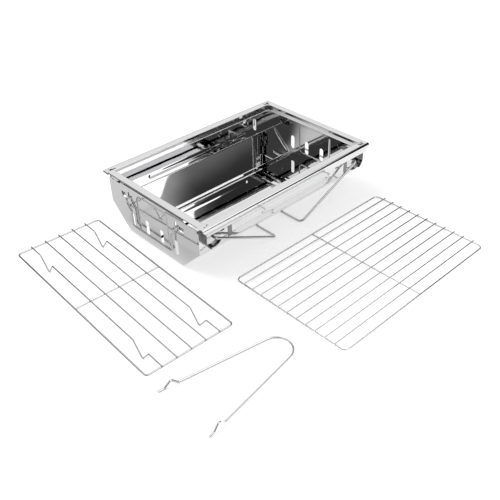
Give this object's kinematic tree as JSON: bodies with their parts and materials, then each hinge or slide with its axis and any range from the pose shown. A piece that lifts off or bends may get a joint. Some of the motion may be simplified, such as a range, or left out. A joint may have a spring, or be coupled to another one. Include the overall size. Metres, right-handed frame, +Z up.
{
  "type": "folding charcoal grill",
  "caption": "Tabletop charcoal grill: steel trough with a rim, folding wire legs, swinging end handles, and a loose cooking grate, charcoal grate and grate lifter.",
  "frame": {"origin": "middle of the trough's flat underside", "axes": "+X along the trough, +Y across it towards the far rail, +Z up"},
  "size_m": [0.6523, 0.5725, 0.1111],
  "materials": {
    "polished_sheet": "mirror-polished steel sheet",
    "bright_wire": "bright steel wire"
  },
  "bodies": {
    "grill_body": {"trough_shell": "polished_sheet", "left_end_plate": "polished_sheet", "right_end_plate": "polished_sheet", "near_rail": "polished_sheet", "far_rail": "polished_sheet", "left_end_rim": "polished_sheet", "right_end_rim": "polished_sheet", "near_left_leg_bracket": "polished_sheet", "near_right_leg_bracket": "polished_sheet", "far_left_leg_bracket": "polished_sheet", "far_right_leg_bracket": "polished_sheet", "near_left_leg_stop": "polished_sheet", "near_right_leg_stop": "polished_sheet", "far_left_leg_stop": "polished_sheet", "far_right_leg_stop": "polished_sheet", "near_left_handle_lug": "polished_sheet", "near_right_handle_lug": "polished_sheet", "far_left_handle_lug": "polished_sheet", "far_right_handle_lug": "polished_sheet"},
    "left_leg": {"left_leg": "bright_wire"},
    "right_leg": {"right_leg": "bright_wire"},
    "left_handle": {"left_handle": "bright_wire"},
    "right_handle": {"right_handle": "bright_wire"},
    "cooking_grate": {"cooking_grate_frame": "bright_wire", "cooking_grate_bars": "bright_wire", "cooking_grate_crossbar": "bright_wire"},
    "charcoal_grate": {"charcoal_grate_frame": "bright_wire", "charcoal_grate_bars": "bright_wire", "charcoal_grate_footed_bars": "bright_wire", "charcoal_grate_crossbar": "bright_wire"},
    "grate_lifter": {"grate_lifter": "bright_wire"}
  },
  "joints": [
    {"name": "left_leg_fold", "type": "hinge", "parent": "grill_body", "child": "left_leg", "pos_m": [-0.1848, 0, 0.0745], "axis": [0, 1, 0], "range_deg": [0, 82.8]},
    {"name": "right_leg_fold", "type": "hinge", "parent": "grill_body", "child": "right_leg", "pos_m": [0.1848, 0, 0.0745], "axis": [0, -1, 0], "range_deg": [0, 82.8]},
    {"name": "left_handle_swing", "type": "hinge", "parent": "grill_body", "child": "left_handle", "pos_m": [-0.2109, 0, 0.079], "axis": [0, 1, 0], "range_deg": [0, 90]},
    {"name": "right_handle_swing", "type": "hinge", "parent": "grill_body", "child": "right_handle", "pos_m": [0.2109, 0, 0.079], "axis": [0, -1, 0], "range_deg": [0, 90]},
    {"name": "cooking_grate_lift", "type": "slide", "parent": "grill_body", "child": "cooking_grate", "axis": [0, 0, 1], "range_m": [0, 0.2]},
    {"name": "charcoal_grate_lift", "type": "slide", "parent": "grill_body", "child": "charcoal_grate", "axis": [0, 0, 1], "range_m": [0, 0.2]},
    {"name": "grate_lifter_lift", "type": "slide", "parent": "grill_body", "child": "grate_lifter", "axis": [0, 0, 1], "range_m": [0, 0.2]}
  ]
}
